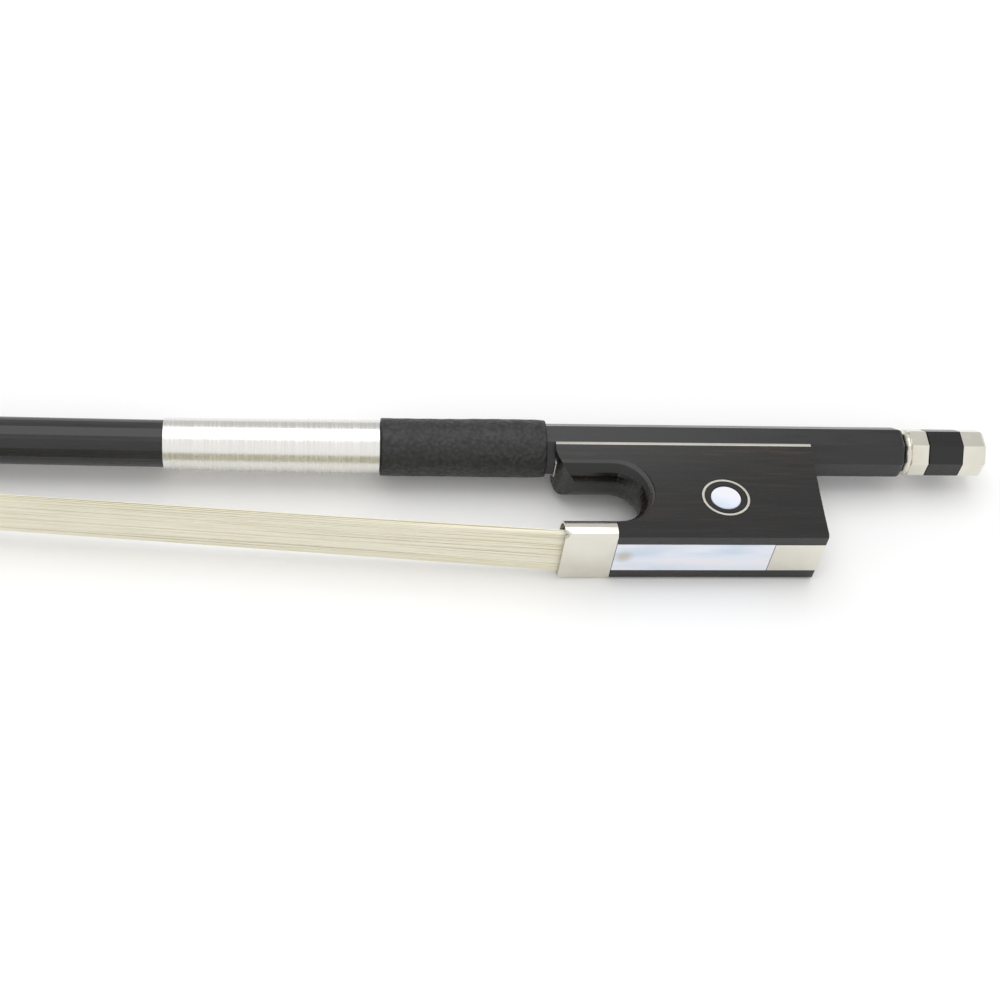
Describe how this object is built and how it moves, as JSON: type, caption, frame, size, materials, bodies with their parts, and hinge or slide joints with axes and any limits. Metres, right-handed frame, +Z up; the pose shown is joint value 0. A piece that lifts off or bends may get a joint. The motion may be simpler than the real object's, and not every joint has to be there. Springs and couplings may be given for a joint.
{
  "type": "violin bow",
  "caption": "Violin bow lying on its side: cambered stick with a hatchet head, ribbon of hair, and a sliding frog drawn back by a screw with an octagonal button.",
  "frame": {"origin": "centre of the bounding box in X and Y, at the lowest point in Z, with the bow lying on its side", "axes": "+X along the handle to the button, +Y from the hair to the stick, +Z up, out of the cheek that the picture shows"},
  "size_m": [0.744, 0.0764, 0.0133],
  "materials": {
    "black_grained_leather": "pebbled",
    "black_liner": "satin",
    "black_satin_stick": "black satin varnish",
    "bone": "polished bone",
    "bound_hair": "bound with thread",
    "brass": "bright",
    "ebony": "polished",
    "horsehair": "natural",
    "maple": "bare",
    "nickel_silver": "polished nickel silver",
    "pearl": "polished shell",
    "silver_wire": "bright wound wire",
    "steel": "bright"
  },
  "bodies": {
    "stick_body": {"stick": "black_satin_stick", "winding": "silver_wire", "thumb_leather": "black_grained_leather", "tip_liner": "black_liner", "tip_plate": "bone", "tip_knot": "bound_hair", "tip_plug": "maple", "tip_wedge": "maple", "hair": "horsehair"},
    "frog_assembly": {"frog_body": "ebony", "frog_lining": "nickel_silver", "ferrule": "nickel_silver", "ferrule_wedge": "maple", "slide_pearl": "pearl", "slide_base": "ebony", "heel_plate_lower": "nickel_silver", "heel_plate_back": "nickel_silver", "eye_ring_near": "nickel_silver", "eye_pearl_near": "pearl", "eye_ring_far": "nickel_silver", "eye_pearl_far": "pearl", "lining_pin_1": "nickel_silver", "lining_pin_2": "nickel_silver", "heel_pin_back_1": "nickel_silver", "heel_pin_back_2": "nickel_silver", "frog_knot": "bound_hair", "frog_plug": "maple", "eyelet": "brass"},
    "screw_assembly": {"screw": "steel", "button_front_ring": "nickel_silver", "button_core": "ebony", "button_cap": "nickel_silver"}
  },
  "joints": [
    {"name": "screw_turn", "type": "hinge", "parent": "stick_body", "child": "screw_assembly", "pos_m": [0.35641, -0.01415, 0.00663], "axis": [-1, 0, 0], "range_deg": [-300, 2800]},
    {"name": "frog_slide", "type": "slide", "parent": "stick_body", "child": "frog_assembly", "axis": [1, 0, 0], "range_m": [-0.0006, 0.0058], "deforming": ["hair"]}
  ],
  "couplings": [
    {"joint": "screw_turn", "follows": "frog_slide", "rad_per_m": 8377.6}
  ]
}
